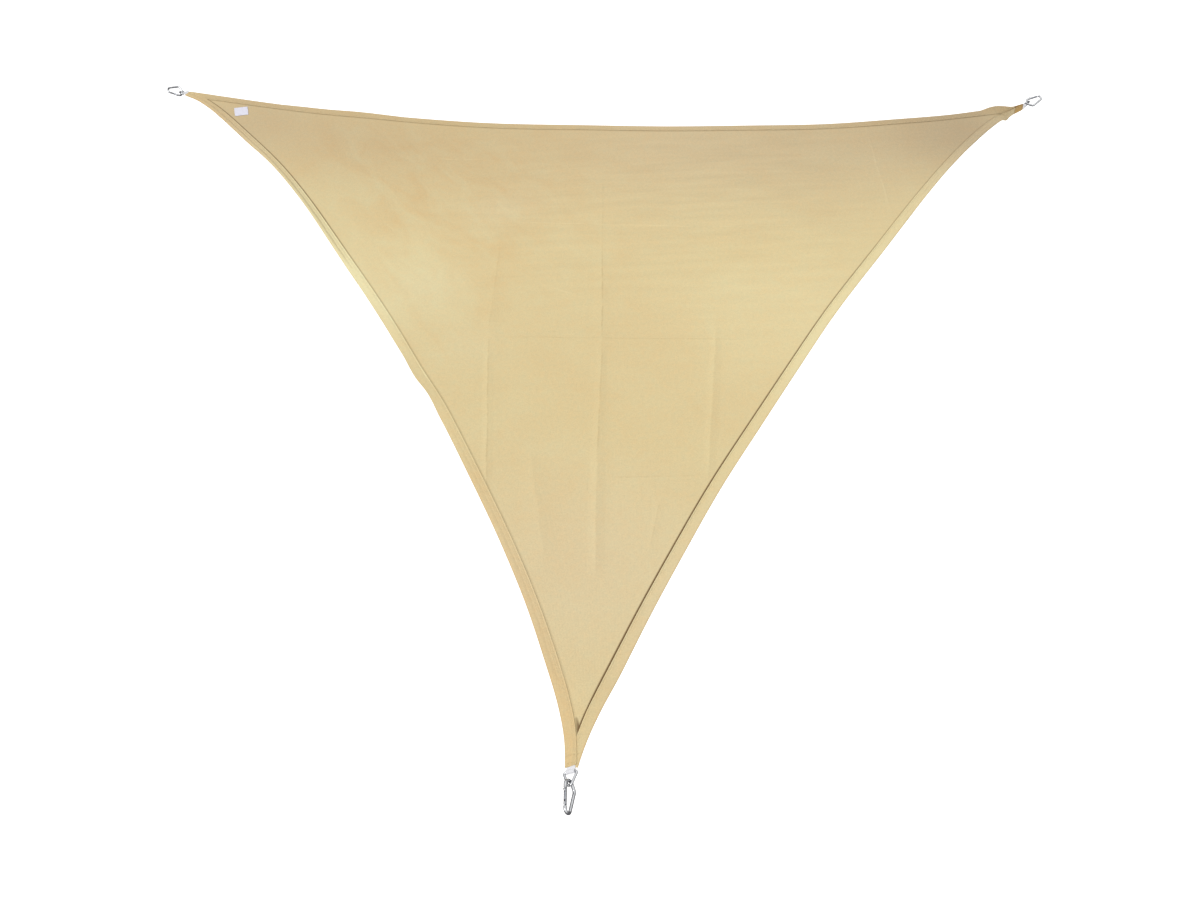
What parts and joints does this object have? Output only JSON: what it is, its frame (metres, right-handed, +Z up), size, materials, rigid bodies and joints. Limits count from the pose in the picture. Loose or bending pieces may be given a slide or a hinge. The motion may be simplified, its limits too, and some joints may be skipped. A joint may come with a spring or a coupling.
{
  "type": "triangular shade sail",
  "caption": "Triangular knitted shade sail with curved hemmed edges, held level by a webbing loop, a triangular ring and a snap hook at each corner.",
  "frame": {"origin": "inside the narrow end of the near snap hook, where a wall eye or a rope would sit", "axes": "+Z up, square to the level sail; +Y from the near corner towards the far edge; +X along the far edge, from the labelled corner to the other"},
  "size_m": [3.1853, 2.7546, 0.0605],
  "materials": {
    "cloth": "knitted, sand coloured, matt",
    "webbing": "woven strap, white",
    "label": "woven patch, white, blank",
    "steel": "bright polished wire"
  },
  "bodies": {
    "sail": {"sail_cloth": "cloth", "label": "label", "webbing_near": "webbing", "webbing_left": "webbing", "webbing_right": "webbing", "ring_near": "steel", "ring_left": "steel", "ring_right": "steel", "hook_body_near": "steel", "hook_body_left": "steel", "hook_body_right": "steel", "hook_pin_near": "steel", "hook_pin_left": "steel", "hook_pin_right": "steel"},
    "gate_near": {"hook_gate_near": "steel"},
    "gate_left": {"hook_gate_left": "steel"},
    "gate_right": {"hook_gate_right": "steel"}
  },
  "joints": [
    {"name": "gate_near_hinge", "type": "hinge", "parent": "sail", "child": "gate_near", "pos_m": [-0.00522, 0.01483, 0.00647], "axis": [-0.8085, -0.0282, -0.5878], "range_deg": [0, 30], "stiffness_Nm_per_rad": 0.05, "springref_deg": -5.73},
    {"name": "gate_left_hinge", "type": "hinge", "parent": "sail", "child": "gate_left", "pos_m": [-1.57424, 2.72572, -0.02287], "axis": [-0.4351, -0.749, 0.4997], "range_deg": [0, 30], "stiffness_Nm_per_rad": 0.05, "springref_deg": -5.73},
    {"name": "gate_right_hinge", "type": "hinge", "parent": "sail", "child": "gate_right", "pos_m": [1.56939, 2.73793, 0.00207], "axis": [0.2405, -0.3854, 0.8909], "range_deg": [0, 30], "stiffness_Nm_per_rad": 0.05, "springref_deg": -5.73}
  ]
}
